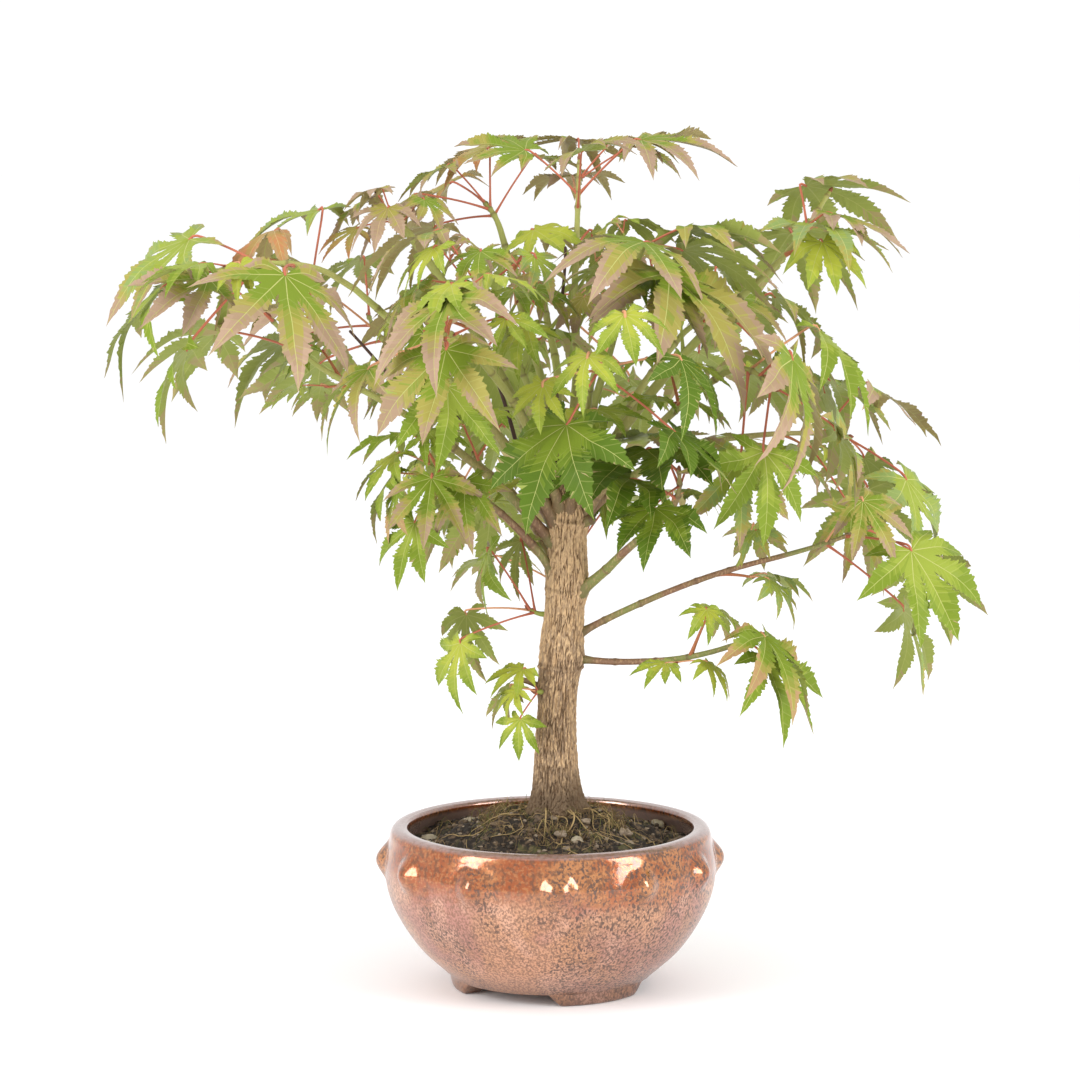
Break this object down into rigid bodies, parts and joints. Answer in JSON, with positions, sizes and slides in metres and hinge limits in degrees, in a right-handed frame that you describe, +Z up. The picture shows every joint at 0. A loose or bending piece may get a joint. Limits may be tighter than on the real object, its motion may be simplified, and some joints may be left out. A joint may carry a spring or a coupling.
{
  "type": "japanese maple bonsai in a pot",
  "caption": "Small Japanese maple bonsai with an open, spreading head of lobed leaves, in a round copper-glazed bowl on three feet.",
  "frame": {"origin": "on the ground under the middle of the bowl", "axes": "+Z up along the bowl's axis, +X along the widest reach of the foliage, -Y towards the front"},
  "size_m": [0.3394, 0.2572, 0.3267],
  "materials": {
    "glaze": "glossy copper-coloured glaze with darker speckle",
    "soil": "dark gritty bonsai soil with fine roots and pebbles",
    "bark": "grey-brown bark with fine upright cracks",
    "foliage": "satin green leaves, some tinted bronze, on red stalks"
  },
  "bodies": {
    "root": {"pot": "glaze", "soil": "soil", "trunk": "bark", "bough_right_top": "bark", "bough_right_upper": "bark", "bough_right_middle": "bark", "bough_right_stub": "bark", "bough_right_long": "bark", "bough_right_low": "bark", "bough_middle": "bark", "bough_top_right": "bark", "bough_top_left": "bark", "bough_top_back": "bark", "bough_left_top": "bark", "bough_left_upper": "bark", "bough_left_middle": "bark", "bough_left_low": "bark", "bough_front_left": "bark", "bough_front_right": "bark", "bough_back": "bark", "bough_back_left": "bark", "bough_back_right": "bark", "bough_back_low": "bark", "spray_right_top": "foliage", "spray_right_upper": "foliage", "spray_right_middle": "foliage", "spray_right_stub": "foliage", "spray_right_long": "foliage", "spray_right_low": "foliage", "spray_middle": "foliage", "spray_top_right": "foliage", "spray_top_left": "foliage", "spray_top_back": "foliage", "spray_left_top": "foliage", "spray_left_upper": "foliage", "spray_left_middle": "foliage", "spray_left_low": "foliage", "spray_front_left": "foliage", "spray_front_right": "foliage", "spray_back": "foliage", "spray_back_left": "foliage", "spray_back_right": "foliage", "spray_back_low": "foliage", "spray_trunk_left": "foliage", "spray_trunk_foot": "foliage", "spray_trunk_back": "foliage"}
  },
  "joints": []
}
